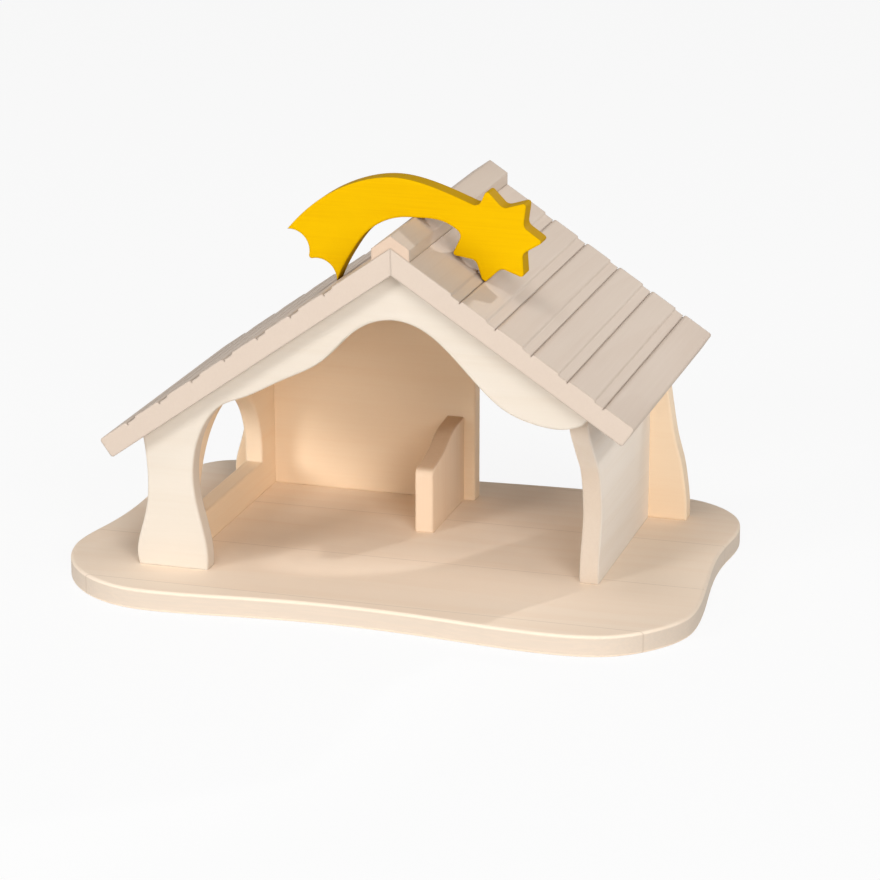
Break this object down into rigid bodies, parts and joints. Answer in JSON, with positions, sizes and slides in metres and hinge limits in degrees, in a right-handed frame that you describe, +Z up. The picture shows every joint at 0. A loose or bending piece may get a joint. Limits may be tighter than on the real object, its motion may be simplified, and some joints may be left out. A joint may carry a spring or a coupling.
{
  "type": "nativity stable",
  "caption": "Open-fronted wooden stable for toy figures: wavy base board, arched gable, walls with window and doorway, grooved pitched roof with ridge cap, and a lift-off comet.",
  "frame": {"origin": "centre of the flat underside of the base board", "axes": "+X to the right along the base, +Y from the open front to the rear panel, +Z up"},
  "size_m": [0.4493, 0.3015, 0.2905],
  "materials": {
    "base_wood": "sanded and oiled pale wood",
    "wall_wood": "sanded and oiled pale wood",
    "roof_wood": "sanded pale wood with milled grooves",
    "comet_paint": "matt yellow stain on wood",
    "dowel_wood": "plain turned wood"
  },
  "bodies": {
    "stable": {"base_board": "base_wood", "front_gable": "wall_wood", "rear_panel": "wall_wood", "left_wall": "wall_wood", "right_wall": "wall_wood", "divider": "wall_wood", "roof_left": "roof_wood", "roof_right": "roof_wood", "ridge_cap": "roof_wood", "front_leg_dowels": "dowel_wood", "rear_panel_dowels": "dowel_wood", "left_wall_base_dowels": "dowel_wood", "right_wall_base_dowels": "dowel_wood", "divider_base_dowels": "dowel_wood", "left_wall_front_dowels": "dowel_wood", "left_wall_rear_dowels": "dowel_wood", "right_wall_front_dowel": "dowel_wood", "right_wall_rear_dowels": "dowel_wood", "divider_rear_dowel": "dowel_wood", "left_roof_dowels": "dowel_wood", "right_roof_dowels": "dowel_wood", "ridge_dowels": "dowel_wood"},
    "comet": {"comet": "comet_paint", "comet_dowel": "dowel_wood"}
  },
  "joints": [
    {"name": "comet_lift", "type": "slide", "parent": "stable", "child": "comet", "axis": [0, 0, 1], "range_m": [0, 0.04]}
  ]
}
